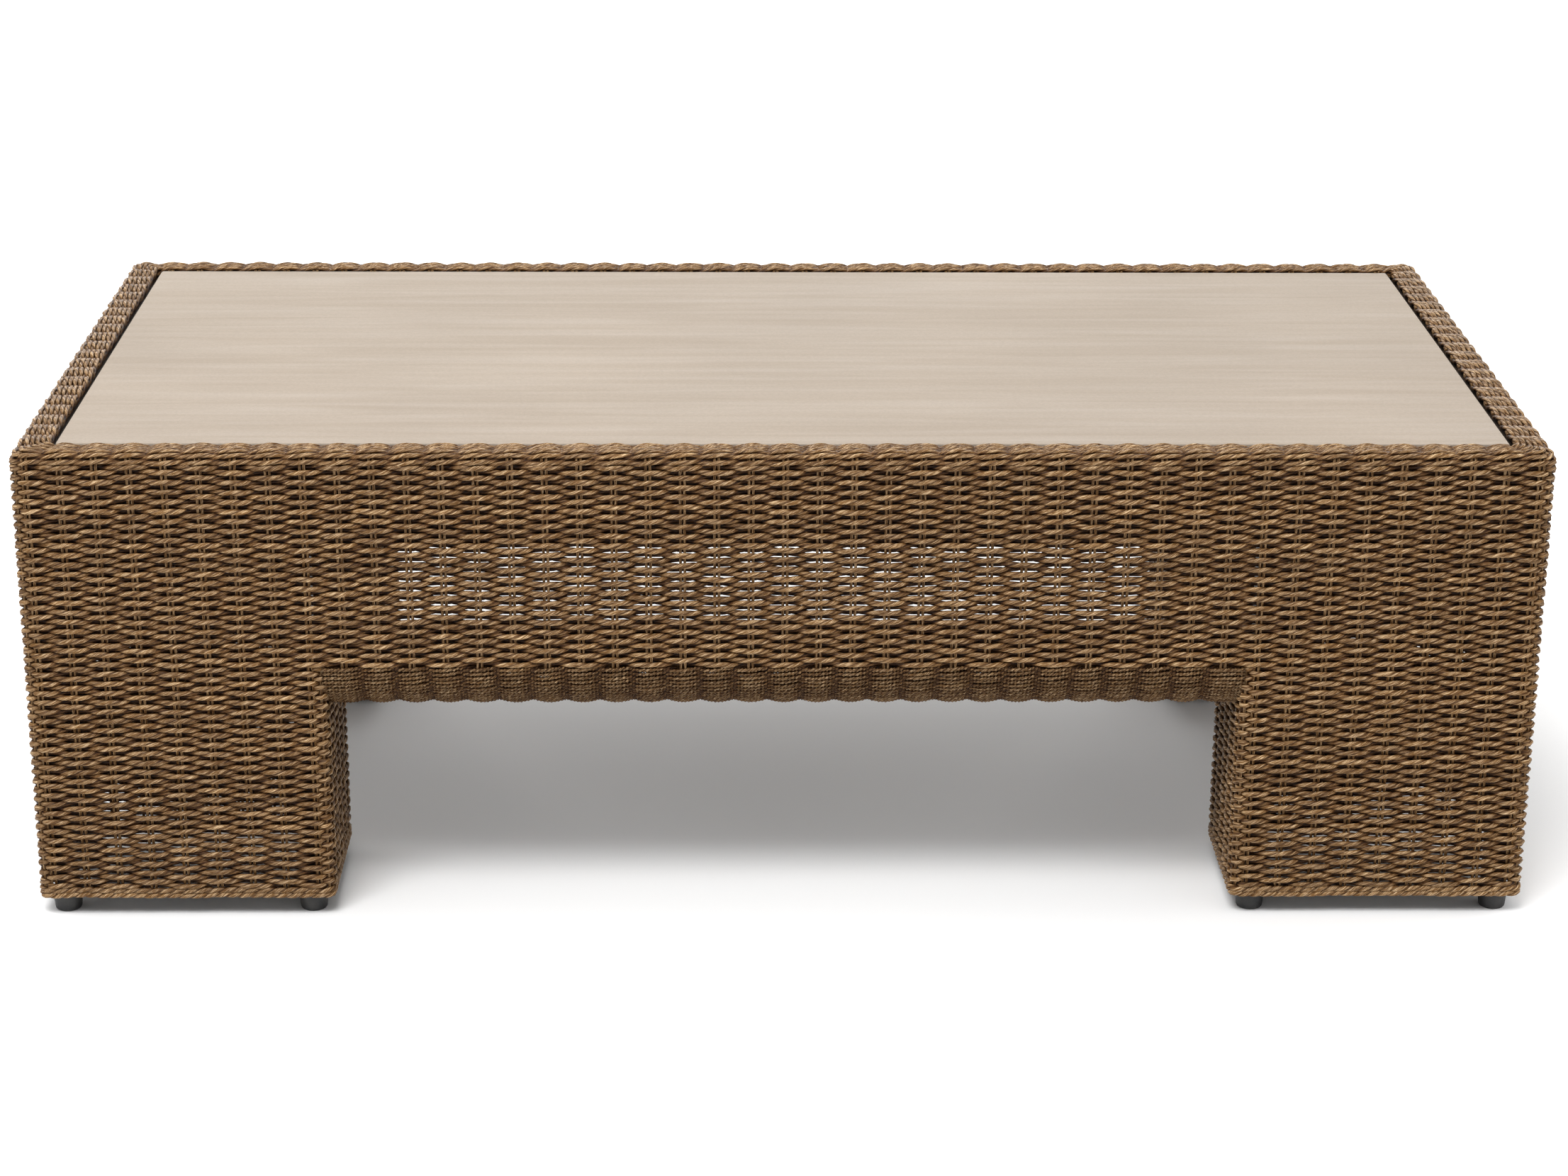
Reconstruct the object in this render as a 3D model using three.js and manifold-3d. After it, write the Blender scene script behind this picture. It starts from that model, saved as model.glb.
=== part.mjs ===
// Wicker coffee table: a woven resin cover on a square-tube frame, with a lift-out top panel.
// Millimetres, +Z up. The origin is on the floor, below the middle of the table. Front is -Y.

import * as THREE from "three";
import { mergeVertices } from "three/addons/utils/BufferGeometryUtils.js";
import Module from "manifold-3d";

const wasm = await Module();
wasm.setup();

// Overall size
const LENGTH = 1397;
const WIDTH = 698.5;
const HEIGHT = 457;

// Pairs of stakes stand at an even pitch along each side, and a leg takes a whole number of them.
const LONG_PITCH = LENGTH / 45;
const SHORT_PITCH = WIDTH / 22;
const LEG_LENGTH = 9 * LONG_PITCH; // along the table's long side
const LEG_DEPTH = 5 * SHORT_PITCH; // along the table's short side
const GLIDE_HEIGHT = 18; // floor to the lower edge of the woven legs

// Woven cover
const WEAVE = 12; // thickness of the weave, outer crown to inner crown
const BORDER = 36; // width of the woven border round the top
const FACE_BOTTOM = 250; // where the flat face of the apron turns into its rolled lower edge
const ROLL_RADIUS = 50; // outer radius of the rolled lower edge
const RETURN_TOP = 258; // top of the weave that comes back up inside the apron
const ROLL_STEPS = 8; // straight steps in each quarter of the roll
const LEG_WEAVE_TOP = 268; // top of the weave on the inner faces of a leg

// Frame
const TUBE = 20; // outer side of the square tube, and the thickness of the top rails
const TUBE_WALL = 1.5;
const TUBE_INSET = 14; // outer face of the weave to the outer face of the tube
const FIT = 0.3; // gap between pieces that touch
const RAIL_TOP = HEIGHT - WEAVE - FIT;
const TOP_RAIL_HEIGHT = 80; // the top rails stand on edge, behind the upper part of the apron
const TOP_RAIL_BOTTOM = RAIL_TOP - TOP_RAIL_HEIGHT;
const LOWER_RAIL_BOTTOM = 244;
const INNER_RAIL_INSET = 2 * ROLL_RADIUS - TUBE_INSET - TUBE; // as far from the inside of the roll

// Top panel
const PANEL_THICKNESS = 12;
const PANEL_TOP = HEIGHT - 3.5; // a little below the crowns of the border
const PANEL_GAP = 2; // round the edge of the panel
const PANEL_CORNER = 3; // small radius on the panel's corners
const BEARER_TOP = PANEL_TOP - PANEL_THICKNESS - FIT;
const BEARER_SPACING = 420;

// Glides
const GLIDE_TOP_RADIUS = 14;
const GLIDE_FOOT_RADIUS = 11;
const GLIDE_STEM_RADIUS = 7.5;
const GLIDE_STEM = 24;
const GLIDE_SIDES = 20;

const LONG_SIDES = [
  { name: "front", turn: 0, x: 0, y: -WIDTH / 2 },
  { name: "back", turn: Math.PI, x: 0, y: WIDTH / 2 },
];
const SHORT_SIDES = [
  { name: "left", turn: -Math.PI / 2, x: -LENGTH / 2, y: 0 },
  { name: "right", turn: Math.PI / 2, x: LENGTH / 2, y: 0 },
];
const LEGS = [
  { name: "front_left", sx: -1, sy: -1 },
  { name: "front_right", sx: 1, sy: -1 },
  { name: "back_left", sx: -1, sy: 1 },
  { name: "back_right", sx: 1, sy: 1 },
];

const finish = (color, roughness, metalness) => () =>
  new THREE.MeshStandardMaterial({ color, roughness, metalness });
const wicker = finish(0x8a6a44, 0.7, 0);
const coatedMetal = finish(0x4a3526, 0.55, 0.3);
const ceramic = finish(0xcdc0af, 0.6, 0);
const blackRubber = finish(0x141414, 0.65, 0);

const table = new THREE.Group();

function addMesh(name, geometry, material) {
  const mesh = new THREE.Mesh(geometry, material());
  mesh.name = name;
  table.add(mesh);
  return mesh;
}

// Solids: joining and cutting closed meshes

function toSolid(geometry) {
  const bare = geometry.clone();
  bare.deleteAttribute("normal");
  bare.deleteAttribute("uv");
  const merged = mergeVertices(bare, 1e-4);
  return new wasm.Manifold(
    new wasm.Mesh({
      numProp: 3,
      vertProperties: new Float32Array(merged.attributes.position.array),
      triVerts: new Uint32Array(merged.index.array),
    }),
  );
}

function toGeometry(solid) {
  const mesh = solid.getMesh();
  const geometry = new THREE.BufferGeometry();
  geometry.setAttribute("position", new THREE.BufferAttribute(mesh.vertProperties, 3));
  geometry.setIndex(new THREE.BufferAttribute(mesh.triVerts, 1));
  geometry.computeVertexNormals();
  return geometry;
}

const joined = (geometries) =>
  toGeometry(geometries.map(toSolid).reduce((whole, next) => whole.add(next)));

// A box between two corners
function boxBetween([x0, y0, z0], [x1, y1, z1]) {
  const box = new THREE.BoxGeometry(x1 - x0, y1 - y0, z1 - z0);
  return box.translate((x0 + x1) / 2, (y0 + y1) / 2, (z0 + z1) / 2);
}

// An outline in plan, raised from one height to another
function plate(outline, bottom, top) {
  const shape = new THREE.Shape(outline.map(([x, y]) => new THREE.Vector2(x, y)));
  const options = { depth: top - bottom, bevelEnabled: false };
  return new THREE.ExtrudeGeometry(shape, options).translate(0, 0, bottom);
}

// A side's pieces are made in the side's own frame: x runs along the side from its middle,
// y goes inwards from its outer face. This puts such a piece on its side of the table.
function onSide(side, mesh) {
  mesh.rotation.z = side.turn;
  mesh.position.set(side.x, side.y, 0);
}

// Woven cover

// One side's strip between the two mitred corners, from its outer face to a depth
function mitredStrip(sideLength, depth, bottom, top) {
  const outer = sideLength / 2 - FIT / 2;
  const inner = outer - depth;
  return plate([[-outer, 0], [outer, 0], [inner, depth], [-inner, depth]], bottom, top);
}

// The leg's part of a side, from its mitred corner to the leg's inner edge
function legFace(sideLength, legWidth, sign) {
  const corner = sideLength / 2 - FIT / 2;
  const edge = sideLength / 2 - legWidth;
  const plan = [[corner, 0], [corner - WEAVE, WEAVE], [edge, WEAVE], [edge, 0]];
  const outline = plan.map(([x, y]) => [sign * x, y]);
  return plate(outline, GLIDE_HEIGHT, FACE_BOTTOM + WEAVE);
}

// The half-round lower edge of the apron, with the weave that returns inside it
function rolledEdge(sideLength, legWidth) {
  const run = sideLength - 2 * (legWidth + FIT);
  const shape = new THREE.Shape();
  shape.moveTo(0, FACE_BOTTOM + WEAVE);
  shape.lineTo(0, FACE_BOTTOM);
  shape.absarc(ROLL_RADIUS, FACE_BOTTOM, ROLL_RADIUS, Math.PI, 2 * Math.PI, false);
  shape.lineTo(2 * ROLL_RADIUS, RETURN_TOP);
  shape.lineTo(2 * ROLL_RADIUS - WEAVE, RETURN_TOP);
  shape.absarc(ROLL_RADIUS, FACE_BOTTOM, ROLL_RADIUS - WEAVE, 2 * Math.PI, Math.PI, true);
  shape.lineTo(WEAVE, FACE_BOTTOM + WEAVE);
  const options = { depth: run, bevelEnabled: false, curveSegments: ROLL_STEPS };
  const roll = new THREE.ExtrudeGeometry(shape, options).translate(0, 0, -run / 2);
  // the section's x is the depth and its y is the height, and it was extruded along z
  const upright = new THREE.Matrix4().makeBasis(
    new THREE.Vector3(0, 1, 0),
    new THREE.Vector3(0, 0, 1),
    new THREE.Vector3(1, 0, 0),
  );
  return roll.applyMatrix4(upright);
}

function sideCover(sideLength, legWidth) {
  return joined([
    mitredStrip(sideLength, WEAVE, FACE_BOTTOM, HEIGHT),
    mitredStrip(sideLength, BORDER, HEIGHT - WEAVE, HEIGHT),
    legFace(sideLength, legWidth, -1),
    legFace(sideLength, legWidth, 1),
    rolledEdge(sideLength, legWidth),
  ]);
}

// A box in a leg: a is measured inwards from the table's end, b from its front or back
function legBox({ sx, sy }, [a0, a1], [b0, b1], [bottom, top]) {
  const x = [sx * (LENGTH / 2 - a0), sx * (LENGTH / 2 - a1)];
  const y = [sy * (WIDTH / 2 - b0), sy * (WIDTH / 2 - b1)];
  return boxBetween([Math.min(...x), Math.min(...y), bottom], [Math.max(...x), Math.max(...y), top]);
}

// The two inner faces of a leg, as one cover with a corner, notched where the lower rails pass
function legInnerCover(leg) {
  const at = (a, b) => [leg.sx * (LENGTH / 2 - a), leg.sy * (WIDTH / 2 - b)];
  const start = WEAVE + FIT;
  const outline = [
    at(LEG_LENGTH, start),
    at(LEG_LENGTH, LEG_DEPTH),
    at(start, LEG_DEPTH),
    at(start, LEG_DEPTH - WEAVE),
    at(LEG_LENGTH - WEAVE, LEG_DEPTH - WEAVE),
    at(LEG_LENGTH - WEAVE, start),
  ];
  const notchHeight = [LOWER_RAIL_BOTTOM - FIT, LEG_WEAVE_TOP + 1];
  let cover = toSolid(plate(outline, GLIDE_HEIGHT, LEG_WEAVE_TOP));
  for (const inset of [TUBE_INSET, INNER_RAIL_INSET]) {
    const across = [inset - FIT, inset + TUBE + FIT];
    const throughA = [LEG_LENGTH - WEAVE - 1, LEG_LENGTH + 1];
    const throughB = [LEG_DEPTH - WEAVE - 1, LEG_DEPTH + 1];
    cover = cover.subtract(toSolid(legBox(leg, throughA, across, notchHeight)));
    cover = cover.subtract(toSolid(legBox(leg, across, throughB, notchHeight)));
  }
  return toGeometry(cover);
}

for (const side of LONG_SIDES)
  onSide(side, addMesh(`weave_${side.name}`, sideCover(LENGTH, LEG_LENGTH), wicker));
for (const side of SHORT_SIDES)
  onSide(side, addMesh(`weave_${side.name}`, sideCover(WIDTH, LEG_DEPTH), wicker));
for (const leg of LEGS) addMesh(`leg_weave_${leg.name}`, legInnerCover(leg), wicker);

// Frame of welded tube

function tubeSection(width, height) {
  const rectangle = (inset, path) => {
    const w = width / 2 - inset;
    const h = height / 2 - inset;
    path.moveTo(-w, -h).lineTo(w, -h).lineTo(w, h).lineTo(-w, h).closePath();
    return path;
  };
  const shape = rectangle(0, new THREE.Shape());
  shape.holes.push(rectangle(TUBE_WALL, new THREE.Path()));
  return shape;
}

// A straight open-ended tube, centred on its own middle, lying along x, y or z
function tube(length, axis, section = tubeSection(TUBE, TUBE)) {
  const options = { depth: length, bevelEnabled: false };
  const geometry = new THREE.ExtrudeGeometry(section, options).translate(0, 0, -length / 2);
  if (axis === "x") geometry.rotateY(Math.PI / 2);
  if (axis === "y") geometry.rotateX(Math.PI / 2);
  return geometry;
}

// A rail along a side at a depth, with its ends a distance in from the side's two corners
function rail(name, side, sideLength, { depth, bottom, endInset, height = TUBE }) {
  const section = tubeSection(height, TUBE); // turned by a quarter, its width stands upright
  const geometry = tube(sideLength - 2 * endInset, "x", section);
  geometry.translate(0, depth + TUBE / 2, bottom + height / 2);
  onSide(side, addMesh(name, geometry, coatedMetal));
}

function sideRails(side, sideLength, legWidth, topEndInset) {
  const postFace = legWidth - TUBE_INSET + FIT;
  rail(`top_rail_${side.name}`, side, sideLength, {
    depth: TUBE_INSET, bottom: TOP_RAIL_BOTTOM, endInset: topEndInset, height: TOP_RAIL_HEIGHT,
  });
  rail(`lower_rail_outer_${side.name}`, side, sideLength, {
    depth: TUBE_INSET, bottom: LOWER_RAIL_BOTTOM, endInset: postFace,
  });
  rail(`lower_rail_inner_${side.name}`, side, sideLength, {
    depth: INNER_RAIL_INSET, bottom: LOWER_RAIL_BOTTOM, endInset: postFace,
  });
}

for (const side of LONG_SIDES) sideRails(side, LENGTH, LEG_LENGTH, TUBE_INSET);
for (const side of SHORT_SIDES) sideRails(side, WIDTH, LEG_DEPTH, TUBE_INSET + TUBE + FIT);

// The three bearers under the panel run between the two long top rails.
const bearerLength = WIDTH - 2 * (TUBE_INSET + TUBE + FIT);
["left", "centre", "right"].forEach((name, i) => {
  const bearer = addMesh(`cross_bearer_${name}`, tube(bearerLength, "y"), coatedMetal);
  bearer.position.set((i - 1) * BEARER_SPACING, 0, BEARER_TOP - TUBE / 2);
});

// Legs: four posts each, a glide in the foot of each post, and a tie that carries the inner rails

const POST_CENTRE = TUBE_INSET + TUBE / 2;
const POSTS = [
  { name: "corner", a: POST_CENTRE, b: POST_CENTRE, top: TOP_RAIL_BOTTOM - FIT },
  { name: "long", a: LEG_LENGTH - POST_CENTRE, b: POST_CENTRE, top: TOP_RAIL_BOTTOM - FIT },
  { name: "short", a: POST_CENTRE, b: LEG_DEPTH - POST_CENTRE, top: TOP_RAIL_BOTTOM - FIT },
  { name: "inner", a: LEG_LENGTH - POST_CENTRE, b: LEG_DEPTH - POST_CENTRE, top: LOWER_RAIL_BOTTOM - FIT },
];

function glide() {
  const profile = [
    [0, 0],
    [GLIDE_FOOT_RADIUS, 0],
    [GLIDE_FOOT_RADIUS + 1.3, 1.5],
    [GLIDE_TOP_RADIUS, GLIDE_HEIGHT - 3],
    [GLIDE_TOP_RADIUS, GLIDE_HEIGHT - FIT],
    [GLIDE_STEM_RADIUS, GLIDE_HEIGHT - FIT],
    [GLIDE_STEM_RADIUS, GLIDE_HEIGHT + GLIDE_STEM],
    [0, GLIDE_HEIGHT + GLIDE_STEM],
  ].map(([radius, height]) => new THREE.Vector2(radius, height));
  return new THREE.LatheGeometry(profile, GLIDE_SIDES).rotateX(Math.PI / 2);
}

// Two tubes welded into a corner over the leg's inner post, one end against each neighbour post
function legTie(leg) {
  const near = TUBE_INSET + TUBE + FIT;
  const farA = LEG_LENGTH - TUBE_INSET;
  const farB = LEG_DEPTH - TUBE_INSET;
  // an L of two bars; the wall's thickness is left out of the bore, which runs out of both ends
  const bars = (wall, start) => {
    const height = [LOWER_RAIL_BOTTOM + wall, LOWER_RAIL_BOTTOM + TUBE - wall];
    const alongA = legBox(leg, [start, farA - wall], [farB - TUBE + wall, farB - wall], height);
    const alongB = legBox(leg, [farA - TUBE + wall, farA - wall], [start, farB - wall], height);
    return toSolid(alongA).add(toSolid(alongB));
  };
  return toGeometry(bars(0, near).subtract(bars(TUBE_WALL, near - 1)));
}

for (const leg of LEGS) {
  for (const post of POSTS) {
    const bottom = GLIDE_HEIGHT + FIT;
    const x = leg.sx * (LENGTH / 2 - post.a);
    const y = leg.sy * (WIDTH / 2 - post.b);
    const name = `post_${leg.name}_${post.name}`;
    addMesh(name, tube(post.top - bottom, "z"), coatedMetal).position.set(x, y, (post.top + bottom) / 2);
    addMesh(`glide_${leg.name}_${post.name}`, glide(), blackRubber).position.set(x, y, 0);
  }
  addMesh(`leg_tie_${leg.name}`, legTie(leg), coatedMetal);
}

// Top panel, which lifts out of the border

function topPanel() {
  const halfX = LENGTH / 2 - BORDER - PANEL_GAP;
  const halfY = WIDTH / 2 - BORDER - PANEL_GAP;
  const r = PANEL_CORNER;
  const shape = new THREE.Shape();
  shape.moveTo(-halfX + r, -halfY);
  shape.lineTo(halfX - r, -halfY);
  shape.absarc(halfX - r, -halfY + r, r, -Math.PI / 2, 0, false);
  shape.lineTo(halfX, halfY - r);
  shape.absarc(halfX - r, halfY - r, r, 0, Math.PI / 2, false);
  shape.lineTo(-halfX + r, halfY);
  shape.absarc(-halfX + r, halfY - r, r, Math.PI / 2, Math.PI, false);
  shape.lineTo(-halfX, -halfY + r);
  shape.absarc(-halfX + r, -halfY + r, r, Math.PI, 1.5 * Math.PI, false);
  const options = { depth: PANEL_THICKNESS, bevelEnabled: false, curveSegments: 4 };
  return new THREE.ExtrudeGeometry(shape, options);
}

addMesh("top_panel", topPanel(), ceramic).position.z = PANEL_TOP - PANEL_THICKNESS;

export default table;
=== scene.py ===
"""A wicker coffee table: twisted cord woven over paired stakes on a tube frame, with a lift-out top.

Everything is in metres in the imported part's own frame: +X right, +Y back, +Z up, floor at zero.
The cover is woven cord by cord. A row of cord passes in front of one pair of stakes and behind the
next, and the row above does the opposite, so a cord's side comes from the stake's number plus the
row's. Each vertical corner counts as one stake. The border and the outside of the rolled edge are
twined instead: two cords to a row, which swap sides between the stakes, so every stake shows a crown.
"""

import math

import bmesh
import bpy
import numpy as np
from mathutils import Matrix, Vector


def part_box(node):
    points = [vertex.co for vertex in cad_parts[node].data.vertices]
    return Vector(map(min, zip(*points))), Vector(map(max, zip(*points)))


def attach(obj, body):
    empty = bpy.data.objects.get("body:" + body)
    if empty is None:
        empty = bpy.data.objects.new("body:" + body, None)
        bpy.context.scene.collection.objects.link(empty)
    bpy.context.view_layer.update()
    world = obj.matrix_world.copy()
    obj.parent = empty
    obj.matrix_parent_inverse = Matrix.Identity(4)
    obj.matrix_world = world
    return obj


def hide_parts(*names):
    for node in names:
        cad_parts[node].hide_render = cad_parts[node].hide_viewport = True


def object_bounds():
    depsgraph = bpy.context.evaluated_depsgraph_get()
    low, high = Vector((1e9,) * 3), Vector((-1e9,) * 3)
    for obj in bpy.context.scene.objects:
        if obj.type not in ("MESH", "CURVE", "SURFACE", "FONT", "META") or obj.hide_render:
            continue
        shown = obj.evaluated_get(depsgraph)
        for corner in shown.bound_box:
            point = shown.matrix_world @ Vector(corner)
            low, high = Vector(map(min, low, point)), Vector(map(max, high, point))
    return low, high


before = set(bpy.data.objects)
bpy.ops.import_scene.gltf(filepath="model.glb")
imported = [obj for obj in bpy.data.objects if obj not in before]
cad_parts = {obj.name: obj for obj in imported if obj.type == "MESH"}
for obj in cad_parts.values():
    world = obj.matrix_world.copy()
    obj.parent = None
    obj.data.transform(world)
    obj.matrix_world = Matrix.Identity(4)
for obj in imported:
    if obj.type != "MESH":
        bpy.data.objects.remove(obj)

MM = 0.001
rng = np.random.default_rng(7)

# Sizes of the CAD model: measured from its pieces, and three that its pieces don't give by themselves
cad_low, cad_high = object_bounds()
LENGTH = cad_high.x - cad_low.x
WIDTH = cad_high.y - cad_low.y
HEIGHT = cad_high.z
LEG_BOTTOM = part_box("weave_front")[0].z
LEG_WEAVE_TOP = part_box("leg_weave_front_left")[1].z
ROLL_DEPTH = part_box("weave_front")[1].y - cad_low.y  # across the rolled lower edge of the apron
PANEL_LOW, PANEL_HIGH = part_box("top_panel")
FACE_BOTTOM = 250 * MM  # where the flat face of the apron starts to roll under
RETURN_TOP = 258 * MM  # where the rolled weave ends, inside the apron
BORDER = 36 * MM  # width of the woven border round the top

# Stakes
LONG_PAIRS, SHORT_PAIRS = 45, 22  # pairs along a long and a short side of the table
LEG_LONG_PAIRS, LEG_SHORT_PAIRS = 9, 5  # how many of them belong to a leg
LONG_PITCH, SHORT_PITCH = LENGTH / LONG_PAIRS, WIDTH / SHORT_PAIRS
LEG_LENGTH, LEG_DEPTH = LEG_LONG_PAIRS * LONG_PITCH, LEG_SHORT_PAIRS * SHORT_PITCH
STAKE_RADIUS = 1.45 * MM
STAKE_SPLIT = 1.95 * MM  # half the distance between the two stakes of a pair

# Cord
CORD = 2.76 * MM  # radius, over the crest of a ply
MIDDLE = 5.15 * MM  # from the crowns of the weave to its middle
ROW = 4.62 * MM  # from one row to the next
TWIST = 30 * MM  # length of one full turn of the two plies
WANDER = 0.6 * MM  # how far neighbouring rows stray together from their level
JITTER = 0.3 * MM  # how far one row strays by itself
SECTION_STEP = 3.1 * MM  # between sections along a cord
TWINE_CORD, TWINE_ROW = 2.3 * MM, 4.7 * MM  # the twined rows, of a finer cord
TWINE_RISE = 1.0 * MM  # how far a twined cord climbs over its partner
ROLL_TWIST, ROLL_ROW = 12 * MM, 4.1 * MM  # the rolled edge is twined tighter
STRAIGHT = 0.16  # how much of the way to the next stake a plain row runs straight, at each end
ROPE = 3.2 * MM  # radius of the rope that closes an edge
ROPE_TWIST = 22 * MM
ROPE_SIDE = 0.8  # how far out the rope lies, where a cord in front of a stake is at 1

# Unevenness of the cords. A period is in metres along the cord.
PHASE_RANGE = 6  # a wave's phase is drawn from 0 up to this, in radians
SHADE_SPREAD, SHADE_DRIFT, SHADE_PERIOD = 0.2, 0.12, 0.7  # of a cord's shade, from 0 to 1
LAG_DRIFT, LAG_PERIOD = 0.6, 0.5  # of the twist, in radians
PLUMP_SPREAD, PLUMP_DRIFT, PLUMP_PERIOD = 0.05, 0.04, 0.2  # of the radius, as a share of it
STRAY_WAVES = ((0.5, 0.17, 23), (0.3, 0.071, -61), (0.2, 0.042, 140))  # share, period, climb by level
JITTER_PERIODS = (0.11, 0.047)
FIBRE_SEEDS = 800  # each cord's streaks start at a number drawn from 0 up to this
ROLL_SHADE, ROLL_SHADE_DROP = 0.45, 0.35  # painted shade under the table: the rolled edge's shade at its top, and how much darker it gets towards its underside

# Stakes in more detail
STAKE_SHADES = (0.4, 0.8)  # the range a stake's shade is drawn from
STAKE_GROOVE, STAKE_CORE = 0.15, 0.42  # what its material reads besides the shade: its groove, and its nearness to the core, which darkens it as painted shade
TURN_STEP, FLAT_STEP, ROLL_STEP = 2 * MM, 12 * MM, 6 * MM  # between sections along a stake
LEG_STAKE_SECTIONS = 12

# Turns of the weave, all measured at its middle
CORNER = 6.5 * MM  # radius of a vertical corner
TOP_TURN = 6 * MM  # radius of the top edge
ROLL_RADIUS = ROLL_DEPTH / 2 - MIDDLE

# One section of the cord: the angle of each point and its share of the radius, ply by ply
SECTION_ANGLE = np.radians([-57, -19, 19, 57, 90, 123, 161, 199, 237, 270])
SECTION_REACH = np.array([0.93, 1, 1, 0.93, 0.64, 0.93, 1, 1, 0.93, 0.64])
# How deep in a groove between the plies each point lies; the material darkens the grooves as painted shade
SECTION_GROOVE = np.array([0.3, 0, 0, 0.3, 1, 0.3, 0, 0, 0.3, 1])
STREAK_WIDTH = 0.55 * MM  # of the fine fibres drawn along a ply
STREAK_LENGTH = 7 * MM

SIDES = ("front", "right", "back", "left")
UP = np.array([0.0, 0.0, 1.0])


def unit(v):
    return v / np.linalg.norm(v, axis=-1, keepdims=True)


# Cords and stakes


def section_frames(centres, facing, closed):
    """Two directions across a path at each of its points: the way it faces, and across the row."""
    if closed:
        along = np.roll(centres, -1, 0) - np.roll(centres, 1, 0)
    else:
        along = np.gradient(centres, axis=0)
    along = unit(along)
    across = unit(np.cross(along, facing))
    return np.cross(across, along), across


def wave(distance, length, period, phase):
    """A sine along a path that fits a whole number of times, so that a closed path meets itself."""
    return np.sin(2 * math.pi * max(1, round(length / period)) * distance / length + phase)


def cord_tone(distance, plan, groove, depth):
    """What the material reads: the cord's own shade, its grooves and how near the core it lies. The
    material darkens the grooves and the core as painted shade.
    """
    shade = plan.shade + rng.uniform(-SHADE_SPREAD, SHADE_SPREAD)
    shade = shade + SHADE_DRIFT * wave(distance, plan.length, SHADE_PERIOD, rng.uniform(0, PHASE_RANGE))
    flat = np.ones(depth.shape)
    return np.stack([flat * shade[:, None], flat * groove, 1 - abs(depth) / MIDDLE], axis=-1)


def two_ply(centres, facing, lift, distance, plan, radius, twist):
    """Rings of a twisted two-ply cord along a path, and for each point what its material reads."""
    out, across = section_frames(centres, facing, plan.closed)
    turns = max(1, round(plan.length / twist))
    lag = rng.uniform(0, 2 * math.pi)
    lag = lag + LAG_DRIFT * wave(distance, plan.length, LAG_PERIOD, rng.uniform(0, PHASE_RANGE))
    angle = (lag - 2 * math.pi * turns * distance / plan.length)[:, None] + SECTION_ANGLE
    plump = 1 + rng.uniform(-PLUMP_SPREAD, PLUMP_SPREAD)
    plump = plump + PLUMP_DRIFT * wave(distance, plan.length, PLUMP_PERIOD, rng.uniform(0, PHASE_RANGE))
    reach = radius * plump[:, None] * SECTION_REACH
    outwards = np.cos(angle) * reach
    rings = centres[:, None] + outwards[..., None] * out[:, None]
    rings = rings + (np.sin(angle) * reach)[..., None] * across[:, None]
    seed = rng.uniform(0, FIBRE_SEEDS)
    flat = np.ones(angle.shape)
    fibre = np.stack([
        flat * (np.cos(SECTION_ANGLE) * CORD / STREAK_WIDTH + seed),
        flat * (np.sin(SECTION_ANGLE) * CORD / STREAK_WIDTH),
        flat * (distance / STREAK_LENGTH)[:, None],
    ], axis=-1)
    return rings, fibre, cord_tone(distance, plan, SECTION_GROOVE, lift[:, None] + outwards)


def round_stake(centres, facing, sides=6):
    """Rings of a plain round stake along a path, and what its material reads."""
    out, across = section_frames(centres, facing, closed=False)
    angle = np.arange(sides) * 2 * math.pi / sides
    offset = np.cos(angle)[:, None] * out[:, None] + np.sin(angle)[:, None] * across[:, None]
    steps = np.linalg.norm(np.diff(centres, axis=0), axis=1)
    distance = np.concatenate([[0], np.cumsum(steps)])
    flat = np.ones((len(centres), sides))
    fibre = np.stack([
        flat * (np.cos(angle) * STAKE_RADIUS / STREAK_WIDTH + rng.uniform(0, FIBRE_SEEDS)),
        flat * (np.sin(angle) * STAKE_RADIUS / STREAK_WIDTH),
        flat * (distance / STREAK_LENGTH)[:, None],
    ], axis=-1)
    tone = flat[..., None] * np.array([rng.uniform(*STAKE_SHADES), STAKE_GROOVE, STAKE_CORE])
    return centres[:, None] + STAKE_RADIUS * offset, fibre, tone


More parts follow.
